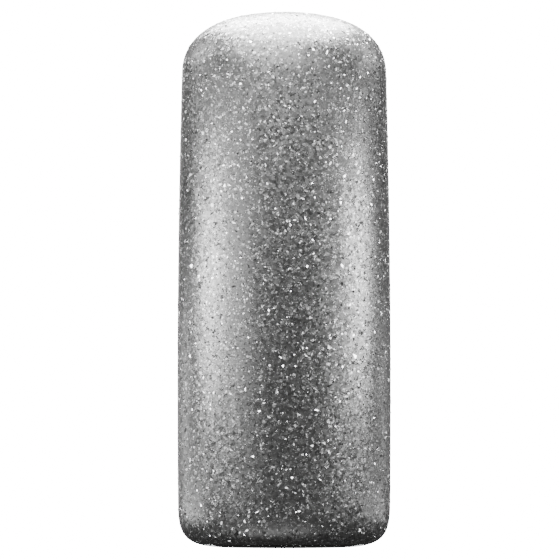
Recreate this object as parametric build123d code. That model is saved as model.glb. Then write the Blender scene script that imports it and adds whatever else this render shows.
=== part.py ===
from build123d import *
import math
import os

# A nail polish bottle: an oval glass flacon and a tall screw cap with a brush, closed to one smooth shape.
#
# The bottle stands on the XY plane with its axis on +Z. X is the wide way across and Y the narrow way.
# Glass and cap carry the same glitter lacquer, and meet at a hairline parting at mid height.
# Every size is in millimetres. Levels are heights above the surface that the bottle stands on.

# ---- Outer shape -------------------------------------------------------------------------------
HEIGHT = 70.0  # floor to the crown of the cap
WIDTH = 27.9  # widest, along X
DEPTH = 21.0  # widest, along Y
PARTING_Z = 34.0  # where the cap meets the bottle
PARTING_GAP = 0.08  # hairline between the two
WIDEST_Z = 20.0  # level of the greatest width
SIDE_RADIUS = 1500.0  # gentle barrel curve of the sides
CROWN_HEIGHT = 7.8  # domed part of the cap
CROWN_POWER = 2.3  # 2 is an ellipse, more is squarer
FOOT_HEIGHT = 5.2  # rounded part at the base
FOOT_INSET = 6.5  # how far the flat base lies inside the side
FOOT_POWER = 3.0

# ---- Lacquer and glass -------------------------------------------------------------------------
COAT = 0.25  # glitter lacquer on glass and cap
BARE_FOOT = 0.5  # height of uncoated glass at the base
GLASS_WALL = 2.3
GLASS_FLOOR = 3.6
SHOULDER_GLASS = 2.6  # glass between the cavity and the parting face
CAVITY_CORNER = 3.0
PUNT_DEPTH = 0.6  # shallow recess under the base
PUNT_RING = 1.4  # width of the flat ring that the bottle stands on
LABEL_THICKNESS = 0.12
LABEL_MARGIN = 0.5

# ---- Neck finish (13 mm screw neck, 12 threads per inch) ---------------------------------------
BOSS_MARGIN = 1.45  # boss outside the thread
BOSS_HEIGHT = 1.2
NECK_RADIUS = 5.75
NECK_HEIGHT = 11.2  # boss to rim
BORE_RADIUS = 3.6
RIM_ROUND = 0.5
PITCH = 2.117
THREAD_TURNS = 2.0
THREAD_HEIGHT = 0.7
THREAD_ROOT_WIDTH = 1.15
THREAD_CREST_WIDTH = 0.5
THREAD_BELOW_RIM = 1.9  # rim to the middle of the top flight
THREAD_SINK = 0.12  # how deep a ridge is rooted in its wall
CREST_CLEARANCE = 0.06  # cap thread's crest outside the neck thread's crest

# ---- Cap ---------------------------------------------------------------------------------------
CAP_WALL = 1.5
CAP_ROOM = 1.5  # hollow of the outer cap above the inner cap
CAP_CORNER = 2.5
SOCKET_MERGE = 0.4  # how far the ring that grips the inner cap runs into the shell, front and back
SOCKET_ABOVE_BOSS = 1.0
RIB_WIDTH = 1.0
RIB_ANGLES = (-40, 0, 40)  # ribs on each side, from the X axis
INNER_CAP_ABOVE_BOSS = 0.4
INNER_CAP_WALL = 0.75
INNER_CAP_RIDGE = 0.45  # height of the cap's own thread
INNER_CAP_RIDGE_ROOT = 0.75
INNER_CAP_RIDGE_CREST = 0.4
CUP_HEIGHT = 4.5  # inner cap above the brush's plug
CEILING_THICKNESS = 1.8
GRIP_RIBS = 30
GRIP_RIB_RADIUS = 0.28
GRIP_RIB_PROUD = 0.2
PRESS_CLEARANCE = 0.03
RUNNING_CLEARANCE = 0.05

# ---- Seal and brush ----------------------------------------------------------------------------
SEAL_THICKNESS = 0.8
SEAL_HOLE_RADIUS = 2.1
FACE_GAP = 0.02  # between faces that rest on each other
FLANGE_THICKNESS = 1.0
FLANGE_MARGIN = 0.65  # flange inside the neck's outside
PLUG_RADIUS = 2.6
PLUG_ABOVE_CEILING = 1.4
PLUG_BEAD = 0.25  # snap bead above the inner cap's ceiling
STEM_RADIUS = 1.75
STEM_TIP_RADIUS = 1.65
TUFT_HOLE_RADIUS = 1.25
TUFT_HOLE_DEPTH = 4.4
TUFT_CLEARANCE = 0.04
TUFT_BELLY_RADIUS = 1.75
TUFT_ABOVE_FLOOR = 1.8
TUFT_LENGTH = 14.8  # outside the stem
TUFT_BELLY_HEIGHT = 6.6  # tip to the widest place
ANCHOR_RADIUS = 0.28
ANCHOR_DROP = 0.75  # below the end of the tuft hole

# ---- Contents ----------------------------------------------------------------------------------
AIR_GAP = 3.9  # top of the polish to the top of the cavity
WELL_RADIUS = 2.35  # room for the brush in the polish
WELL_BELOW_TUFT = 0.5
BALL_RADIUS = 2.0
BALL_PLACES = ((0.55, 0.12), (-0.48, -0.22))  # as shares of the cavity's half width and half depth
BALL_CLEARANCE = 0.05

PARTS = "parts"
BEYOND = 1.0  # how far a cutter runs past what it cuts

# ---- Levels and radii that follow --------------------------------------------------------------
BOSS_TOP_Z = PARTING_Z + BOSS_HEIGHT
RIM_Z = BOSS_TOP_Z + NECK_HEIGHT
THREAD_TOP_Z = RIM_Z - THREAD_BELOW_RIM
THREAD_START_Z = THREAD_TOP_Z - THREAD_TURNS * PITCH
THREAD_RADIUS = NECK_RADIUS + THREAD_HEIGHT
BOSS_RADIUS = THREAD_RADIUS + BOSS_MARGIN
FLANGE_RADIUS = NECK_RADIUS - FLANGE_MARGIN
CAVITY_TOP_Z = PARTING_Z - SHOULDER_GLASS
FILL_Z = CAVITY_TOP_Z - AIR_GAP
TUFT_TIP_Z = GLASS_FLOOR + TUFT_ABOVE_FLOOR
TUFT_BELLY_Z = TUFT_TIP_Z + TUFT_BELLY_HEIGHT
STEM_TIP_Z = TUFT_TIP_Z + TUFT_LENGTH
TUFT_HOLE_TOP_Z = STEM_TIP_Z + TUFT_HOLE_DEPTH
ANCHOR_Z = TUFT_HOLE_TOP_Z - ANCHOR_DROP
WELL_BOTTOM_Z = TUFT_TIP_Z - WELL_BELOW_TUFT
SEAL_Z = RIM_Z + FACE_GAP
FLANGE_Z = SEAL_Z + SEAL_THICKNESS + FACE_GAP
CEILING_Z = FLANGE_Z + FLANGE_THICKNESS + FACE_GAP
PLUG_TOP_Z = CEILING_Z + CEILING_THICKNESS + PLUG_ABOVE_CEILING
INNER_CAP_BOTTOM_Z = BOSS_TOP_Z + INNER_CAP_ABOVE_BOSS
INNER_CAP_TOP_Z = PLUG_TOP_Z + CUP_HEIGHT
SOCKET_BOTTOM_Z = BOSS_TOP_Z + SOCKET_ABOVE_BOSS
CAP_CEILING_Z = INNER_CAP_TOP_Z + CAP_ROOM
CAP_BOTTOM_Z = PARTING_Z + PARTING_GAP
CAP_THREAD_ROOT = THREAD_RADIUS + CREST_CLEARANCE + INNER_CAP_RIDGE
INNER_CAP_RADIUS = CAP_THREAD_ROOT + INNER_CAP_WALL
SOCKET_RADIUS = INNER_CAP_RADIUS + GRIP_RIB_PROUD + PRESS_CLEARANCE


def side_radius(z, inset=0.0):
    """Half of the width at level z, on a barrel curve that lies inset inside the outer shape."""
    return WIDTH / 2 - inset - (z - WIDEST_Z) ** 2 / (2 * SIDE_RADIUS)


def corner_reach(power):
    """How far a Bezier curve's handles reach to the corner, to follow an oval of this power."""
    return (8 * 0.5 ** (1 / power) - 4) / 3


def outline(*edges):
    """A flat face in the XZ plane from edges in (radius, level)."""
    return make_face(Plane.XZ * (Curve() + list(edges)))


def band(bottom_z, top_z, inner=0.0, outer=2 * WIDTH):
    """A rectangle in the XZ plane between two levels and two radii."""
    corners = ((inner, bottom_z), (outer, bottom_z), (outer, top_z), (inner, top_z))
    return outline(Polyline(*corners, close=True))


def oval(face):
    """Turns a face of the XZ plane about Z, then squeezes it along Y to the bottle's oval."""
    return scale(revolve(face, Axis.Z), by=(1, DEPTH / WIDTH, 1)).solid()


def envelope(inset):
    """Half of the closed bottle's section, inset inside the outer shape everywhere but at the base.

    It runs on below the base, which is cut off flat later.
    """
    foot_reach = corner_reach(FOOT_POWER)
    foot_z = FOOT_HEIGHT * (1 - foot_reach)
    foot_side = (side_radius(FOOT_HEIGHT, inset), FOOT_HEIGHT)
    base = side_radius(FOOT_HEIGHT, inset) - FOOT_INSET
    crown_reach = corner_reach(CROWN_POWER)
    crown_base = HEIGHT - CROWN_HEIGHT
    crown_z = crown_base + crown_reach * (CROWN_HEIGHT - inset)
    crown_side = (side_radius(crown_base, inset), crown_base)
    top = HEIGHT - inset
    middle_z = (FOOT_HEIGHT + crown_base) / 2
    return outline(
        Line((0, -BEYOND), (base, -BEYOND)),
        Line((base, -BEYOND), (base, 0)),
        Bezier(
            (base, 0),
            (base + foot_reach * FOOT_INSET, 0),
            (side_radius(foot_z, inset), foot_z),
            foot_side,
        ),
        ThreePointArc(foot_side, (side_radius(middle_z, inset), middle_z), crown_side),
        Bezier(
            crown_side,
            (side_radius(crown_z, inset), crown_z),
            (crown_reach * side_radius(top, inset), top),
            (0, top),
        ),
        Line((0, top), (0, -BEYOND)),
    )


def rounded_band(bottom_z, top_z, half_width, corner):
    """A rectangle in the XZ plane from the axis out, with its two outer corners rounded."""
    inner = half_width - corner
    return outline(
        Line((0, bottom_z), (inner, bottom_z)),
        RadiusArc((inner, bottom_z), (half_width, bottom_z + corner), -corner),
        Line((half_width, bottom_z + corner), (half_width, top_z - corner)),
        RadiusArc((half_width, top_z - corner), (inner, top_z), -corner),
        Line((inner, top_z), (0, top_z)),
        Line((0, top_z), (0, bottom_z)),
    )


def rod(radius, bottom_z, top_z, x=0.0, y=0.0):
    """An upright round rod between two levels."""
    return Pos(x, y, bottom_z) * Cylinder(
        radius, top_z - bottom_z, align=(Align.CENTER, Align.CENTER, Align.MIN)
    )


def tube(outer, inner, bottom_z, top_z):
    return rod(outer, bottom_z, top_z) - rod(inner, bottom_z, top_z)


def slab(bottom_z, top_z):
    """Everything between two levels, wider than the bottle."""
    height = top_z - bottom_z
    return Pos(0, 0, bottom_z) * Box(
        2 * WIDTH, 2 * WIDTH, height, align=(Align.CENTER, Align.CENTER, Align.MIN)
    )


def thread_ridge(wall_radius, height, root_width, crest_width, start_z, turns):
    """A right-hand thread ridge on a round wall. A negative height points it inwards."""
    path = Helix(PITCH, PITCH * turns, wall_radius)
    sink = -math.copysign(THREAD_SINK, height)
    section = Plane(origin=path @ 0, x_dir=(1, 0, 0), z_dir=path % 0) * make_face(
        Polyline(
            (sink, -root_width / 2),
            (height, -crest_width / 2),
            (height, crest_width / 2),
            (sink, root_width / 2),
            close=True,
        )
    )
    return Pos(0, 0, start_z) * sweep(section, path, is_frenet=True)


# ---- Bottle ------------------------------------------------------------------------------------
OUTER = oval(envelope(0.0))
CORE = oval(envelope(COAT))
SKIN = oval(envelope(0.0) - envelope(COAT))
CAVITY_HALF_WIDTH = side_radius(PARTING_Z, COAT) - GLASS_WALL
CAVITY = oval(rounded_band(GLASS_FLOOR, CAVITY_TOP_Z, CAVITY_HALF_WIDTH, CAVITY_CORNER))
PUNT_HALF_WIDTH = side_radius(FOOT_HEIGHT) - FOOT_INSET - PUNT_RING


def glass_bottle():
    body = (OUTER & slab(0.0, BARE_FOOT)) + (CORE & slab(BARE_FOOT, PARTING_Z))
    body = body - CAVITY - oval(band(-BEYOND, PUNT_DEPTH, 0.0, PUNT_HALF_WIDTH))
    boss = rod(BOSS_RADIUS, PARTING_Z, BOSS_TOP_Z)
    boss = fillet(boss.edges().group_by(Axis.Z)[-1], RIM_ROUND)
    neck = boss + rod(NECK_RADIUS, PARTING_Z, RIM_Z) - rod(BORE_RADIUS, PARTING_Z, RIM_Z)
    neck = fillet(neck.edges().group_by(Axis.Z)[-1], RIM_ROUND)
    neck = neck + thread_ridge(
        NECK_RADIUS, THREAD_HEIGHT, THREAD_ROOT_WIDTH, THREAD_CREST_WIDTH, THREAD_START_Z, THREAD_TURNS
    )
    return body - rod(BORE_RADIUS, CAVITY_TOP_Z - CAVITY_CORNER, PARTING_Z) + neck


def bottle_coat():
    return SKIN & slab(BARE_FOOT, PARTING_Z)


def balls(growth=0.0):
    centre_z = GLASS_FLOOR + BALL_CLEARANCE + BALL_RADIUS
    half_depth = CAVITY_HALF_WIDTH * DEPTH / WIDTH
    return [
        Pos(x * CAVITY_HALF_WIDTH, y * half_depth, centre_z) * Sphere(BALL_RADIUS + growth)
        for x, y in BALL_PLACES
    ]


def polish():
    filled = (CAVITY & slab(GLASS_FLOOR, FILL_Z)) - rod(WELL_RADIUS, WELL_BOTTOM_Z, FILL_Z)
    for ball in balls(BALL_CLEARANCE):
        filled = filled - ball
    return filled


def mixing_balls():
    return Compound(children=[ball.solid() for ball in balls()])


def base_label():
    return oval(band(PUNT_DEPTH - LABEL_THICKNESS, PUNT_DEPTH, 0.0, PUNT_HALF_WIDTH - LABEL_MARGIN))


# ---- Seal and brush ----------------------------------------------------------------------------
def rim_seal():
    return tube(NECK_RADIUS - RIM_ROUND / 2, SEAL_HOLE_RADIUS, SEAL_Z, SEAL_Z + SEAL_THICKNESS)


def brush_stem():
    """Tapered rod, the flange that presses the seal, and a plug that snaps into the inner cap."""
    bead_z = CEILING_Z + CEILING_THICKNESS + FACE_GAP
    corners = (
        (0, STEM_TIP_Z),
        (STEM_TIP_RADIUS, STEM_TIP_Z),
        (STEM_RADIUS, FLANGE_Z),
        (FLANGE_RADIUS, FLANGE_Z),
        (FLANGE_RADIUS, FLANGE_Z + FLANGE_THICKNESS),
        (PLUG_RADIUS, FLANGE_Z + FLANGE_THICKNESS),
        (PLUG_RADIUS, bead_z),
        (PLUG_RADIUS + PLUG_BEAD, bead_z),
        (PLUG_RADIUS - PLUG_BEAD, PLUG_TOP_Z),
        (0, PLUG_TOP_Z),
    )
    stem = revolve(outline(Polyline(*corners, close=True)), Axis.Z)
    return stem - rod(TUFT_HOLE_RADIUS, STEM_TIP_Z, TUFT_HOLE_TOP_Z)


def anchor(growth=0.0):
    """The wire that holds the folded tuft in its hole, along Y."""
    length = 2 * (TUFT_HOLE_RADIUS - TUFT_CLEARANCE) + growth
    return Pos(0, 0, ANCHOR_Z) * Rot(90, 0, 0) * Cylinder(ANCHOR_RADIUS + growth, length)


def bristle_tuft():
    """The tuft as one plain body: a round root in the stem, an oval belly and a rounded tip."""
    root_radius = TUFT_HOLE_RADIUS - TUFT_CLEARANCE
    throat_z = STEM_TIP_Z - TUFT_CLEARANCE
    throat = root_radius - TUFT_CLEARANCE
    middle_z = (TUFT_BELLY_Z + throat_z) / 2
    tip_reach = corner_reach(CROWN_POWER)
    tip_side_z = TUFT_BELLY_Z + tip_reach * (TUFT_TIP_Z - TUFT_BELLY_Z)
    brush = oval(
        outline(
            Bezier(
                (0, TUFT_TIP_Z),
                (tip_reach * TUFT_BELLY_RADIUS, TUFT_TIP_Z),
                (TUFT_BELLY_RADIUS, tip_side_z),
                (TUFT_BELLY_RADIUS, TUFT_BELLY_Z),
            ),
            Bezier(
                (TUFT_BELLY_RADIUS, TUFT_BELLY_Z),
                (TUFT_BELLY_RADIUS, middle_z),
                (throat, middle_z),
                (throat, throat_z),
            ),
            Line((throat, throat_z), (0, throat_z)),
            Line((0, throat_z), (0, TUFT_TIP_Z)),
        )
    )
    root = rod(root_radius, throat_z, TUFT_HOLE_TOP_Z - TUFT_CLEARANCE)
    return root - anchor(TUFT_CLEARANCE) + brush


# ---- Cap ---------------------------------------------------------------------------------------
def grip_ribs():
    """Fine upright ribs round the inner cap."""
    centre = INNER_CAP_RADIUS + GRIP_RIB_PROUD - GRIP_RIB_RADIUS
    ribs = []
    for i in range(GRIP_RIBS):
        angle = 2 * math.pi * i / GRIP_RIBS
        x, y = centre * math.cos(angle), centre * math.sin(angle)
        ribs.append(rod(GRIP_RIB_RADIUS, INNER_CAP_BOTTOM_Z + 1, INNER_CAP_TOP_Z - 1, x, y))
    return ribs


def inner_cap():
    """The threaded closure: a skirt with its thread, a ceiling, and a cup above."""
    above = CEILING_Z + CEILING_THICKNESS
    shell = rod(INNER_CAP_RADIUS, INNER_CAP_BOTTOM_Z, INNER_CAP_TOP_Z)
    shell = shell - rod(CAP_THREAD_ROOT, INNER_CAP_BOTTOM_Z, CEILING_Z)
    shell = shell - rod(CAP_THREAD_ROOT, above, INNER_CAP_TOP_Z)
    shell = shell - rod(PLUG_RADIUS + RUNNING_CLEARANCE, CEILING_Z, above)
    ridge = thread_ridge(
        CAP_THREAD_ROOT,
        -INNER_CAP_RIDGE,
        INNER_CAP_RIDGE_ROOT,
        INNER_CAP_RIDGE_CREST,
        THREAD_START_Z - PITCH / 2,
        THREAD_TURNS,
    )
    return shell + ridge + grip_ribs()


def outer_cap():
    """The shell of the cap, with a ring that grips the inner cap and ribs that carry the ring."""
    half_width = side_radius(CAP_CEILING_Z, COAT) - CAP_WALL
    hollow = oval(rounded_band(CAP_BOTTOM_Z - CAP_CORNER, CAP_CEILING_Z, half_width, CAP_CORNER))
    ring = rod(half_width * DEPTH / WIDTH + SOCKET_MERGE, SOCKET_BOTTOM_Z, HEIGHT)
    for side in (0, 180):
        for angle in RIB_ANGLES:
            bar = Box(WIDTH, RIB_WIDTH, HEIGHT, align=(Align.MIN, Align.CENTER, Align.MIN))
            ring = ring + Pos(0, 0, SOCKET_BOTTOM_Z) * Rot(0, 0, side + angle) * bar
    pockets = hollow - ring
    socket = rod(SOCKET_RADIUS, PARTING_Z, INNER_CAP_TOP_Z + PRESS_CLEARANCE)
    return (CORE & slab(CAP_BOTTOM_Z, HEIGHT)) - pockets - socket


def cap_coat():
    return SKIN & slab(CAP_BOTTOM_Z, HEIGHT)


NODES = {
    "glass_bottle": glass_bottle,
    "bottle_glitter_coat": bottle_coat,
    "polish_fill": polish,
    "mixing_balls": mixing_balls,
    "base_label": base_label,
    "rim_seal": rim_seal,
    "brush_stem": brush_stem,
    "bristle_tuft": bristle_tuft,
    "tuft_anchor": anchor,
    "inner_cap": inner_cap,
    "outer_cap": outer_cap,
    "cap_glitter_coat": cap_coat,
}

os.makedirs(PARTS, exist_ok=True)
for name, make in NODES.items():
    export_step(Compound(children=make().solids()), f"{PARTS}/{name}.step")
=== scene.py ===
"""Looks of a silver glitter nail polish bottle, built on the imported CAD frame. Lengths are in metres."""

import math

import bmesh
import bpy
import numpy as np
from mathutils import Matrix, Vector


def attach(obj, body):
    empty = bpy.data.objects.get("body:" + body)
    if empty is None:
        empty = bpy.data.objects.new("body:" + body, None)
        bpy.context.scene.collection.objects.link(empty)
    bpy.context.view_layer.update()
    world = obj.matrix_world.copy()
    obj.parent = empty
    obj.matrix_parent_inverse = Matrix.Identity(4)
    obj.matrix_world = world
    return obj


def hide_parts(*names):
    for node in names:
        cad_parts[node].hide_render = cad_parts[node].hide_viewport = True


MM = 0.001

# ---- Sizes shared with the CAD model -----------------------------------------------------------
HEIGHT = 70.0 * MM
WIDTH = 27.9 * MM
DEPTH = 21.0 * MM
PARTING = 34.0 * MM
WIDEST = 20.0 * MM
SIDE_RADIUS = 1500.0 * MM
CROWN_HEIGHT = 7.8 * MM
CROWN_POWER = 2.3
FOOT_HEIGHT = 5.2 * MM
FOOT_INSET = 6.5 * MM
FOOT_POWER = 3.0
COAT = 0.25 * MM
BARE_FOOT = 0.5 * MM
STEM_TIP = 20.2 * MM
TUFT_HOLE_RADIUS = 1.25 * MM
TUFT_TOP = 24.5 * MM
TUFT_BELLY_RADIUS = 1.75 * MM
TUFT_BELLY = 12.0 * MM
TUFT_TIP = 5.4 * MM
SQUEEZE = DEPTH / WIDTH

# ---- Camera and studio -------------------------------------------------------------------------
CAMERA_DISTANCE = 1.3
CAMERA_SHIFT = -0.6 * MM  # the object stands a little right of the middle
OBJECT_SHARE = 0.95778  # of the picture's height that the object takes up
FRAME_HEIGHT = HEIGHT / OBJECT_SHARE  # what the picture covers at the object
ROOM_RADIUS = 2.3
FLOOR_DROP = 0.05 * MM  # floor below the base, so that the two faces don't flicker
STAGE_GLOW = 18.0  # makes floor and backdrop plain white
WORLD_GREY = 0.9
WORLD_STRENGTH = 0.06
FOOT_LEVEL = 8 * MM  # levels that the lights aim at
LOW_LEVEL = 17 * MM
MIDDLE_LEVEL = 36 * MM
CROWN_LEVEL = 66 * MM

# ---- Lacquer -----------------------------------------------------------------------------------
LIP_GAP = 0.002 * MM  # the cap's lacquer hangs down to the bottle's as a fine lip
RING_POINTS = 160  # round the lacquer
SIDE_POINTS = 40
CURVE_POINTS = 18
ON_AXIS = 1e-7  # a ring with a smaller radius than this is one point
GRAIN = 0.34 * MM  # sizes of the flakes inside the lacquer
FINE_GRAIN = 0.15 * MM
SPECK = 0.52 * MM
CALM_LEAN = 0.2  # lean of the calm flakes, as a share of the loose ones
CALM_GRAINS = 0.88  # share of the grains that lie calm
CALM_FINE_GRAINS = 0.94
DULL_FINE_GRAINS = 0.9575  # share of the fine grains that aren't bright
DULL_SPECKS = 0.9375
BRIGHT_SILVER = (0.93, 0.93, 0.935, 1)

# ---- Flakes ------------------------------------------------------------------------------------
SEED = 7
FLAKES_PER_MM2 = 3.5
FLAKE_SMALL = 0.085 * MM  # half across
FLAKE_LARGE = 0.42 * MM
FLAKE_RARITY = 2.3  # more makes large flakes rarer
FLAKE_THICKNESS = 0.035 * MM
FLAKE_SUNK = 0.7  # share of the thickness below the surface
FLAKE_TILT = math.radians(9)
FLAKE_LEAN = 1.9  # extra lean of the mirror face alone, from the dullest flake
FLAT_LEAN = 0.3  # to the brightest
FLAKE_ASPECTS = (0.2, 0.8)  # breadth over length
FLAKE_REACHES = (0.35, 1.1)  # centre to corner, as shares of the flake's size
FLAKE_CORNERS = (3, 7)  # from the first to one under the second
CORNER_JITTER = 0.35
EDGE_SHARE = 0.9  # a flake near an edge reaches this share of its way there at most

# ---- Bristles ----------------------------------------------------------------------------------
BRISTLES = 260
BRISTLE_RADIUS = 0.045 * MM
BRISTLE_SIDES = 5
BRISTLE_STEPS = 10
TIP_SHARE = 0.62  # breadth of the tuft at its tip, and height of its rounded end, as shares of the belly's
RAGGED = 0.5 * MM  # how unevenly the bristles end

rng = np.random.default_rng(SEED)
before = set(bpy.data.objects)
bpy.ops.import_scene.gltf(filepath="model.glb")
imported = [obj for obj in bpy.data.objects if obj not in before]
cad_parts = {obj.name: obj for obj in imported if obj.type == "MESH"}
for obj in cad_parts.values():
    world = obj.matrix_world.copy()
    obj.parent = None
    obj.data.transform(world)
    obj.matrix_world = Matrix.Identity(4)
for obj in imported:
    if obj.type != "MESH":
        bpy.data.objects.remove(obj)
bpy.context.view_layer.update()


# ---- Camera ------------------------------------------------------------------------------------
def make_camera():
    data = bpy.data.cameras.new("camera")
    data.lens = data.sensor_width * CAMERA_DISTANCE / FRAME_HEIGHT
    data.clip_start, data.clip_end = 0.05, 20
    camera = bpy.data.objects.new("camera", data)
    camera.location = (CAMERA_SHIFT, -CAMERA_DISTANCE, HEIGHT / 2)
    camera.rotation_euler = (math.pi / 2, 0, 0)
    bpy.context.collection.objects.link(camera)
    bpy.context.scene.camera = camera


make_camera()


# ---- Node helpers ------------------------------------------------------------------------------
class Material:
    """A node material whose helpers each add one node and return its output socket."""

    def __init__(self, name):
        self.material = bpy.data.materials.new(name)
        self.material.use_nodes = True
        self.tree = self.material.node_tree
        self.shader = self.tree.nodes["Principled BSDF"]
        self.coords = self.add("ShaderNodeTexCoord").outputs["Object"]

    def add(self, kind, **values):
        node = self.tree.nodes.new(kind)
        for key, value in values.items():
            setattr(node, key, value)
        return node

    def feed(self, socket, value):
        if isinstance(value, bpy.types.NodeSocket):
            self.tree.links.new(value, socket)
        else:
            socket.default_value = value

    def set(self, **values):
        """Sets shader inputs; an underscore in the name stands for a space."""
        for key, value in values.items():
            self.feed(self.shader.inputs[key.replace("_", " ")], value)
        return self

    def noise(self, size, detail=3.0, stretch=(1, 1, 1)):
        """Noise whose features are about this many metres across."""
        place = self.add("ShaderNodeMapping")
        place.inputs["Scale"].default_value = stretch
        self.feed(place.inputs["Vector"], self.coords)
        node = self.add("ShaderNodeTexNoise")
        node.inputs["Scale"].default_value = 1 / size
        node.inputs["Detail"].default_value = detail
        self.feed(node.inputs["Vector"], place.outputs[0])
        return node.outputs["Fac"]

    def warped(self, size, amount):
        """Object coordinates pushed about by noise, in metres."""
        node = self.add("ShaderNodeTexNoise")
        node.inputs["Scale"].default_value = 1 / size
        self.feed(node.inputs["Vector"], self.coords)
        centred = self.vector("SUBTRACT", node.outputs["Color"], (0.5, 0.5, 0.5))
        pushed = self.add("ShaderNodeVectorMath", operation="SCALE")
        self.feed(pushed.inputs[0], centred)
        pushed.inputs["Scale"].default_value = amount
        return self.vector("ADD", self.coords, pushed.outputs[0])

    def cells(self, size, coords):
        """Cells about this many metres across, each with a colour of its own."""
        node = self.add("ShaderNodeTexVoronoi")
        node.inputs["Scale"].default_value = 1 / size
        self.feed(node.inputs["Vector"], coords)
        return node

    def split(self, colour):
        """The three channels of a colour."""
        node = self.add("ShaderNodeSeparateColor")
        self.feed(node.inputs[0], colour)
        return node.outputs

    def vector(self, operation, a, b):
        node = self.add("ShaderNodeVectorMath", operation=operation)
        self.feed(node.inputs[0], a)
        self.feed(node.inputs[1], b)
        return node.outputs[0]

    def math(self, operation, a, b=0.0):
        node = self.add("ShaderNodeMath", operation=operation)
        self.feed(node.inputs[0], a)
        self.feed(node.inputs[1], b)
        return node.outputs[0]

    def span(self, value, low, high, to_low, to_high):
        """Maps low..high onto to_low..to_high, and holds the ends."""
        node = self.add("ShaderNodeMapRange")
        ends = {"From Min": low, "From Max": high, "To Min": to_low, "To Max": to_high}
        for key, number in ends.items():
            node.inputs[key].default_value = number
        self.feed(node.inputs["Value"], value)
        return node.outputs["Result"]

    def above(self, value, share, softness):
        """0 below the share and 1 above it, with a soft step between."""
        return self.span(value, share - softness, share + softness, 0.0, 1.0)

    def ramp(self, value, *stops):
        """Colours by position; each stop is (position, grey or (r, g, b))."""
        node = self.add("ShaderNodeValToRGB")
        points = node.color_ramp.elements
        while len(points) < len(stops):
            points.new(0.5)
        for point, (position, colour) in zip(points, stops):
            point.position = position
            rgb = (colour,) * 3 if isinstance(colour, (int, float)) else colour
            point.color = (*rgb, 1)
        self.feed(node.inputs["Fac"], value)
        return node.outputs["Color"]

    def mix(self, factor, a, b):
        """Colour a where the factor is 0, and b where it is 1."""
        node = self.add("ShaderNodeMix", data_type="RGBA")
        first, second = [socket for socket in node.inputs if socket.type == "RGBA"]
        self.feed(node.inputs["Factor"], factor)
        self.feed(first, a)
        self.feed(second, b)
        return next(socket for socket in node.outputs if socket.type == "RGBA")

    def bump(self, height, distance, strength=1.0):
        node = self.add("ShaderNodeBump")
        node.inputs["Strength"].default_value = strength
        node.inputs["Distance"].default_value = distance
        self.feed(node.inputs["Height"], height)
        return node.outputs["Normal"]

    def tilted(self, colour, amount):
        """A normal that leans at random, one way for each flat patch of colour."""
        centred = self.vector("SUBTRACT", colour, (0.5, 0.5, 0.5))
        lean = self.add("ShaderNodeVectorMath", operation="SCALE")
        self.feed(lean.inputs[0], centred)
        self.feed(lean.inputs["Scale"], amount)
        normal = self.add("ShaderNodeNewGeometry").outputs["Normal"]
        return self.vector("NORMALIZE", self.vector("ADD", normal, lean.outputs[0]), (0, 0, 0))


# ---- Materials ---------------------------------------------------------------------------------
def glitter(name, body=0.3, lean=0.85):
    """Silver flakes of three sizes in clear lacquer: most lie calm, and some lean and sparkle."""
    m = Material(name)
    place = m.warped(0.35 * MM, 0.22 * MM)
    grain, fine, speck = (m.cells(size, place) for size in (GRAIN, FINE_GRAIN, SPECK))
    grain_pick, fine_pick, speck_pick = (m.split(cell.outputs["Color"]) for cell in (grain, fine, speck))
    grey = m.ramp(grain_pick[0], (0.0, body * 0.85), (0.6, body * 1.05), (1.0, body * 1.5))
    loose_grain = m.above(grain_pick[1], CALM_GRAINS, 0.01)
    loose_fine = m.above(fine_pick[0], CALM_FINE_GRAINS, 0.01)
    loose = m.math("MAXIMUM", loose_grain, loose_fine)
    bright_fine = m.above(fine_pick[1], DULL_FINE_GRAINS, 0.0075)
    bright_speck = m.above(speck_pick[2], DULL_SPECKS, 0.0075)
    speck_core = m.span(speck.outputs["Distance"], 0.34, 0.42, 1.0, 0.0)
    bright = m.math("MAXIMUM", bright_fine, m.math("MULTIPLY", bright_speck, speck_core))
    direction = m.mix(0.4, grain.outputs["Color"], fine.outputs["Color"])
    m.set(
        Base_Color=m.mix(bright, grey, BRIGHT_SILVER),
        Metallic=0.92,
        Roughness=m.span(grain_pick[2], 0.0, 1.0, 0.3, 0.44),
        Normal=m.tilted(direction, m.span(loose, 0.0, 1.0, CALM_LEAN * lean, lean)),
    )
    return m.material


def flake(name):
    """The large flakes at the surface, each its own silver and lying its own way."""
    m = Material(name)
    pick = m.add("ShaderNodeTexWhiteNoise", noise_dimensions="1D")
    m.feed(pick.inputs["W"], m.add("ShaderNodeNewGeometry").outputs["Random Per Island"])
    value = pick.outputs["Value"]
    m.set(
        Base_Color=m.ramp(value, (0.0, 0.88), (0.4, 0.96), (1.0, 0.99)),
        Metallic=m.span(m.noise(0.3 * MM, 1.0), 0.3, 0.7, 0.65, 1.0),
        Roughness=m.span(value, 0.0, 1.0, 0.06, 0.18),
        Normal=m.tilted(pick.outputs["Color"], m.span(value, 0.0, 1.0, FLAKE_LEAN, FLAT_LEAN)),
    )
    return m.material


def glass(name):
    m = Material(name)
    ripple = m.noise(4 * MM, 2.0, (1, 1, 0.4))
    m.set(
        Base_Color=m.ramp(ripple, (0.3, (0.9, 0.95, 0.94)), (0.7, (0.97, 0.99, 0.985))),
        Roughness=m.span(m.noise(1.1 * MM), 0.3, 0.7, 0.01, 0.06),
        Transmission_Weight=1.0,
        IOR=1.52,
        Normal=m.bump(ripple, 0.05 * MM, 0.6),
    )
    return m.material


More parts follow.
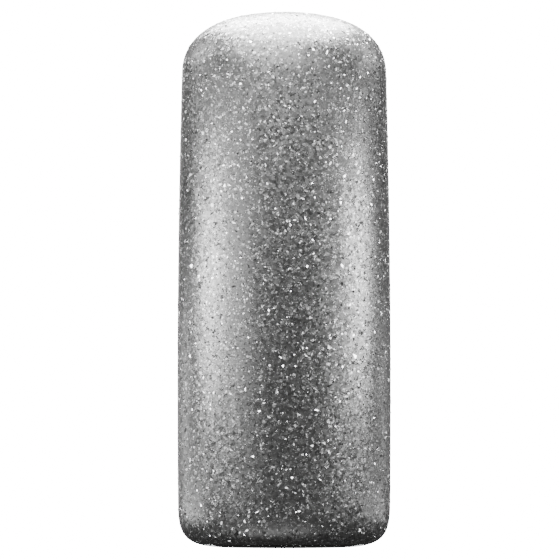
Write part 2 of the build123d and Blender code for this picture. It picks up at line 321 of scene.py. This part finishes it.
def moulded(name, tones, grain, gloss, relief, stretch=(1, 1, 1), metallic=0.0):
    """Plastic, paper or metal with two tones, uneven gloss and fine relief, in grains of this size."""
    m = Material(name)
    low, high = tones
    tone = m.noise(7 * grain, 4.0, stretch)
    fine = m.noise(grain, 2.0, stretch)
    m.set(
        Base_Color=m.ramp(tone, (0.3, low), (0.7, high)),
        Metallic=metallic,
        Roughness=m.span(fine, 0.3, 0.7, *gloss),
        Normal=m.bump(fine, relief),
    )
    return m.material


def foam(name):
    m = Material(name)
    cell = m.cells(0.22 * MM, m.warped(0.3 * MM, 0.1 * MM))
    m.set(
        # Each cell's centre, where the bump dips into a pit, is painted darker: painted shade in the pores
        # over the foam's even pale cream.
        Base_Color=m.ramp(cell.outputs["Distance"], (0.0, 0.62), (0.6, (0.86, 0.86, 0.83))),
        Roughness=m.span(m.noise(0.8 * MM), 0.3, 0.7, 0.75, 0.95),
        Normal=m.bump(cell.outputs["Distance"], 0.05 * MM),
    )
    return m.material


def bristle(name):
    """Dark nylon, silvered with polish towards the tip."""
    m = Material(name)
    height = m.add("ShaderNodeSeparateXYZ")
    m.feed(height.inputs[0], m.coords)
    level = m.math("ADD", height.outputs["Z"], m.math("MULTIPLY", m.noise(0.8 * MM), 5 * MM))
    wet = m.span(level, TUFT_BELLY + 2 * MM, TUFT_BELLY + 7 * MM, 1.0, 0.0)
    spark = m.ramp(m.noise(0.12 * MM, 1.0), (0.4, 0.22), (0.6, 0.85))
    m.set(
        Base_Color=m.mix(wet, (0.02, 0.02, 0.022, 1), spark),
        Metallic=m.span(wet, 0.0, 1.0, 0.0, 0.8),
        Roughness=m.span(wet, 0.0, 1.0, 0.42, 0.2),
    )
    return m.material


UPRIGHT = (1, 1, 0.15)  # stretches a grain along Z
ALONG_WIRE = (1, 0.1, 1)

LACQUER = glitter("glitter_lacquer")
FLAKE = flake("flake_silver")
NYLON = bristle("nylon")

FINISHES = {
    "glass_bottle": glass("clear_glass"),
    "polish_fill": glitter("polish", 0.4, 1.0),
    "mixing_balls": moulded("ball_steel", (0.62, 0.8), 0.3 * MM, (0.06, 0.2), 0.004 * MM, metallic=1.0),
    "base_label": moulded("label_stock", (0.78, 0.88), 0.15 * MM, (0.6, 0.85), 0.01 * MM),
    "rim_seal": foam("seal_foam"),
    "brush_stem": moulded("stem_plastic", (0.02, 0.035), 0.5 * MM, (0.22, 0.38), 0.01 * MM, UPRIGHT),
    "tuft_anchor": moulded("wire_steel", (0.45, 0.6), 0.3 * MM, (0.25, 0.45), 0.004 * MM, ALONG_WIRE, 1.0),
    "inner_cap": moulded("closure_plastic", (0.72, 0.84), 0.4 * MM, (0.4, 0.62), 0.012 * MM),
    "outer_cap": moulded("cap_plastic", (0.13, 0.18), 0.4 * MM, (0.28, 0.5), 0.01 * MM),
}
for node, finish in FINISHES.items():
    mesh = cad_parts[node].data
    mesh.materials.clear()
    mesh.materials.append(finish)


# ---- Lacquer -----------------------------------------------------------------------------------
def side_radius(z, inset):
    """Half of the width at level z, on a barrel curve that lies inset inside the outer shape."""
    return WIDTH / 2 - inset - (z - WIDEST) ** 2 / (2 * SIDE_RADIUS)


def corner_reach(power):
    """How far a Bezier curve's handles reach to the corner, to follow an oval of this power."""
    return (8 * 0.5 ** (1 / power) - 4) / 3


def bezier(a, b, c, d, t):
    """Points of a cubic Bezier curve at the shares t of its way."""
    points = np.array((a, b, c, d))
    weights = np.array(((1 - t) ** 3, 3 * t * (1 - t) ** 2, 3 * t * t * (1 - t), t**3))
    return weights.T @ points


def outline(inset):
    """The section from the base to the crown as points of (radius, height)."""
    t = np.linspace(0, 1, CURVE_POINTS)
    reach = corner_reach(FOOT_POWER)
    handle = FOOT_HEIGHT * (1 - reach)
    side = side_radius(FOOT_HEIGHT, inset)
    base = side - FOOT_INSET
    foot = bezier(
        (base, 0),
        (base + reach * FOOT_INSET, 0),
        (side_radius(handle, inset), handle),
        (side, FOOT_HEIGHT),
        t,
    )
    reach = corner_reach(CROWN_POWER)
    crown_base = HEIGHT - CROWN_HEIGHT
    handle = crown_base + reach * (CROWN_HEIGHT - inset)
    top = HEIGHT - inset
    crown = bezier(
        (side_radius(crown_base, inset), crown_base),
        (side_radius(handle, inset), handle),
        (reach * side_radius(top, inset), top),
        (0, top),
        t,
    )
    levels = np.linspace(FOOT_HEIGHT, crown_base, SIDE_POINTS)[1:-1]
    side = np.stack((side_radius(levels, inset), levels), axis=1)
    return np.concatenate((foot, side, crown))


def cut(points, low, high):
    """The part of an outline between two levels, with a point at each level."""
    ends = [(np.interp(level, points[:, 1], points[:, 0]), level) for level in (low, high)]
    middle = points[(points[:, 1] > low) & (points[:, 1] < high)]
    return np.concatenate(([ends[0]], middle, [ends[1]]))


def lathe(bm, points, inward=False):
    """Turns an outline about Z, squeezed along Y, and returns its rows of vertices."""
    rows = []
    for radius, z in points:
        if radius < ON_AXIS:
            rows.append([bm.verts.new((0, 0, z))] * RING_POINTS)
            continue
        ring = []
        for i in range(RING_POINTS):
            angle = 2 * math.pi * i / RING_POINTS
            x, y = radius * math.cos(angle), radius * SQUEEZE * math.sin(angle)
            ring.append(bm.verts.new((x, y, z)))
        rows.append(ring)
    for lower, upper in zip(rows, rows[1:]):
        join(bm, lower, upper, inward)
    return rows


def join(bm, lower, upper, inward=False, smooth=True):
    """A band of faces between two rings."""
    for i in range(RING_POINTS):
        j = (i + 1) % RING_POINTS
        corners = list(dict.fromkeys((lower[i], lower[j], upper[j], upper[i])))
        face = bm.faces.new(corners[::-1] if inward else corners)
        face.smooth = smooth
        if not smooth:
            for edge in face.edges:
                edge.smooth = False


def finish_mesh(bm, name, material, body, node=None):
    """Makes a piece of a bmesh and rides it on its body. It may take a CAD node's place."""
    mesh = bpy.data.meshes.new(name)
    bm.to_mesh(mesh)
    bm.free()
    mesh.materials.append(material)
    piece = bpy.data.objects.new(name, mesh)
    bpy.context.collection.objects.link(piece)
    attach(piece, body)
    if node:
        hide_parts(node)


def coat(name, low, high, body, node):
    """A closed skin of lacquer between two levels."""
    bm = bmesh.new()
    top_inner = min(high, HEIGHT - COAT)
    outer = lathe(bm, cut(outline(0.0), low, high))
    inner = lathe(bm, cut(outline(COAT), low, top_inner), inward=True)
    join(bm, inner[0], outer[0], smooth=False)
    if high < HEIGHT:
        join(bm, outer[-1], inner[-1], smooth=False)
    finish_mesh(bm, name, LACQUER, body, node)


coat("bottle_lacquer", BARE_FOOT, PARTING, "bottle", "bottle_glitter_coat")
coat("cap_lacquer", PARTING + LIP_GAP, HEIGHT, "cap", "cap_glitter_coat")


# ---- Flakes ------------------------------------------------------------------------------------
def between(ends, count=None):
    """One or more random numbers between two ends."""
    low, high = ends
    return low + (high - low) * rng.random(count)


def add_flake(bm, centre, normal, size):
    """One irregular flat flake, leaning a little out of the surface."""
    corners = int(rng.integers(*FLAKE_CORNERS))
    aspect = between(FLAKE_ASPECTS)
    tilt = rng.normal(0, FLAKE_TILT, 2)
    across = normal.orthogonal().normalized()
    turn = Matrix.Rotation(rng.random() * 2 * math.pi, 3, normal)
    lean = Matrix.Rotation(tilt[0], 3, across) @ Matrix.Rotation(tilt[1], 3, normal.cross(across))
    across = lean @ (turn @ across)
    facing = lean @ normal
    along = facing.cross(across)
    reach = size * between(FLAKE_REACHES, corners)
    angles = [2 * math.pi * (i + CORNER_JITTER * (rng.random() - 0.5)) / corners for i in range(corners)]
    levels = []
    for lift in (-FLAKE_THICKNESS * FLAKE_SUNK, FLAKE_THICKNESS * (1 - FLAKE_SUNK)):
        ring = []
        for distance, angle in zip(reach, angles):
            flat = across * distance * math.cos(angle) + along * distance * aspect * math.sin(angle)
            ring.append(bm.verts.new(centre + flat + facing * lift))
        levels.append(ring)
    below, above = levels
    bm.faces.new(above)
    bm.faces.new(below[::-1])
    for i in range(corners):
        j = (i + 1) % corners
        bm.faces.new((below[i], below[j], above[j], above[i]))


def scatter(name, low, high, body):
    """Flakes spread evenly by area over the outer face of the lacquer between two levels."""
    source = bmesh.new()
    lathe(source, cut(outline(0.0), low, high))
    faces = list(source.faces)
    areas = np.array([face.calc_area() for face in faces])
    count = int(areas.sum() / MM**2 * FLAKES_PER_MM2)
    source.normal_update()
    bm = bmesh.new()
    for index in rng.choice(len(faces), count, p=areas / areas.sum()):
        face = faces[index]
        weights = rng.dirichlet([1.0] * len(face.verts))
        centre = Vector((0, 0, 0))
        for vertex, weight in zip(face.verts, weights):
            centre += vertex.co * weight
        size = FLAKE_SMALL + (FLAKE_LARGE - FLAKE_SMALL) * rng.random() ** FLAKE_RARITY
        size = min(size, EDGE_SHARE * (centre.z - low))
        if high < HEIGHT:
            size = min(size, EDGE_SHARE * (high - centre.z))
        if size > FLAKE_SMALL / 3:
            add_flake(bm, centre, face.normal.copy(), size)
    source.free()
    finish_mesh(bm, name, FLAKE, body)


scatter("bottle_flakes", BARE_FOOT, PARTING, "bottle")
scatter("cap_flakes", PARTING + LIP_GAP, HEIGHT, "cap")


# ---- Bristles ----------------------------------------------------------------------------------
def bristles():
    """Filaments that leave the stem round, spread to a flat belly and close to a rounded tip."""
    bm = bmesh.new()
    for _ in range(BRISTLES):
        angle = rng.random() * 2 * math.pi
        place = math.sqrt(rng.random())
        dome = (TUFT_BELLY - TUFT_TIP) * (0.02 + TIP_SHARE * place**3)
        tip = TUFT_TIP + dome + rng.random() * RAGGED
        heights = np.linspace(TUFT_TOP - 0.3 * MM, tip, BRISTLE_STEPS)
        rings = []
        for z in heights:
            spread = np.interp(
                z,
                (TUFT_TIP, TUFT_BELLY, STEM_TIP, TUFT_TOP),
                (TIP_SHARE * TUFT_BELLY_RADIUS, TUFT_BELLY_RADIUS, TUFT_HOLE_RADIUS, TUFT_HOLE_RADIUS),
            )
            flat = np.interp(z, (TUFT_BELLY, STEM_TIP), (SQUEEZE, 1.0))
            reach = place * (spread - 2 * BRISTLE_RADIUS)
            x, y = reach * math.cos(angle), reach * flat * math.sin(angle)
            radius = BRISTLE_RADIUS * (1.0 if z > tip else 0.5)
            ring = []
            for i in range(BRISTLE_SIDES):
                turn = 2 * math.pi * i / BRISTLE_SIDES
                side_x, side_y = x + radius * math.cos(turn), y + radius * math.sin(turn)
                ring.append(bm.verts.new((side_x, side_y, z)))
            rings.append(ring)
        bm.faces.new(rings[0])
        bm.faces.new(rings[-1][::-1])
        for upper, lower in zip(rings, rings[1:]):
            for i in range(BRISTLE_SIDES):
                j = (i + 1) % BRISTLE_SIDES
                bm.faces.new((lower[i], lower[j], upper[j], upper[i])).smooth = True
    finish_mesh(bm, "bristles", NYLON, "brush", "bristle_tuft")


bristles()


# ---- Studio ------------------------------------------------------------------------------------
def white_stage(name, bm, centre):
    """A plain white surface, such as the floor, that lights and mirrors nothing."""
    mesh = bpy.data.meshes.new(name)
    bm.to_mesh(mesh)
    bm.free()
    piece = bpy.data.objects.new(name, mesh)
    piece.location = centre
    piece.visible_diffuse = piece.visible_glossy = piece.visible_shadow = False
    m = Material(name)
    glow = m.ramp(m.noise(0.3), (0.3, 0.97), (0.7, 1.0))
    m.set(Base_Color=glow, Roughness=0.9, Emission_Color=glow, Emission_Strength=STAGE_GLOW)
    mesh.materials.append(m.material)
    bpy.context.collection.objects.link(piece)


def softbox(name, direction, distance, size, power, aim):
    """A soft light on a sphere round a point on the axis, at the level it aims at.

    Its direction is (azimuth, elevation) in degrees, with azimuth 0 on the camera's side and more to
    the right. Its size is (width, height).
    """
    data = bpy.data.lights.new(name, "AREA")
    data.shape = "RECTANGLE"
    data.size, data.size_y = size
    data.energy = power
    lamp = bpy.data.objects.new(name, data)
    azimuth, elevation = (math.radians(angle) for angle in direction)
    level = math.cos(elevation)
    away = Vector((math.sin(azimuth) * level, -math.cos(azimuth) * level, math.sin(elevation)))
    lamp.location = away * distance + Vector((0, 0, aim))
    lamp.rotation_mode = "QUATERNION"
    lamp.rotation_quaternion = away.to_track_quat("Z", "Y")
    lamp.visible_camera = False
    bpy.context.collection.objects.link(lamp)


def lights():
    """Bands down both sides, rims on both edges, and a wash over the crown and the foot.

    In a pair of lights the left one, on side -1, is the stronger.
    """
    softbox("side_left", (-69, 0), 70 * MM, (35 * MM, 26 * MM), 0.027, MIDDLE_LEVEL)
    softbox("side_right", (70, 0), 70 * MM, (30 * MM, 24 * MM), 0.023, MIDDLE_LEVEL)
    softbox("fill_left", (-42, 0), 110 * MM, (50 * MM, 40 * MM), 0.013, MIDDLE_LEVEL)
    softbox("fill_right", (45, 0), 110 * MM, (40 * MM, 40 * MM), 0.005, MIDDLE_LEVEL)
    for side in (-1, 1):
        low, rim = 0.0014 - side * 0.0004, 0.0043 - side * 0.0016
        high, back = 0.019 - side * 0.001, 0.008 - side * 0.003
        softbox(f"low_{side}", (side * 95, -8), 45 * MM, (30 * MM, 6 * MM), low, FOOT_LEVEL)
        softbox(f"rim_{side}", (side * 116, 0), 90 * MM, (30 * MM, 24 * MM), rim, LOW_LEVEL)
        softbox(f"high_{side}", (side * 100, 22), 90 * MM, (50 * MM, 50 * MM), high, 62 * MM)
        softbox(f"back_{side}", (side * 158, 4), 140 * MM, (50 * MM, 80 * MM), back, 28 * MM)
    softbox("overhead", (0, 100), 100 * MM, (130 * MM, 150 * MM), 0.7, 60 * MM)
    softbox("rear_top", (180, 52), 80 * MM, (70 * MM, 50 * MM), 0.22, CROWN_LEVEL)
    softbox("front_low", (-14, -38), 80 * MM, (100 * MM, 30 * MM), 0.007, 6 * MM)
    softbox("front_top", (-18, 40), 80 * MM, (90 * MM, 70 * MM), 0.06, CROWN_LEVEL)
    softbox("front_high", (4, 12), 90 * MM, (120 * MM, 30 * MM), 0.019, CROWN_LEVEL)


def studio():
    floor = bmesh.new()
    bmesh.ops.create_grid(floor, x_segments=1, y_segments=1, size=ROOM_RADIUS)
    white_stage("floor", floor, (0, 0, -FLOOR_DROP))
    room = bmesh.new()
    bmesh.ops.create_uvsphere(room, u_segments=48, v_segments=24, radius=ROOM_RADIUS)
    white_stage("backdrop", room, (0, 0, 0))
    lights()
    world = bpy.data.worlds.new("world")
    world.use_nodes = True
    background = world.node_tree.nodes["Background"]
    background.inputs["Color"].default_value = (WORLD_GREY, WORLD_GREY, WORLD_GREY, 1)
    background.inputs["Strength"].default_value = WORLD_STRENGTH
    bpy.context.scene.world = world


studio()
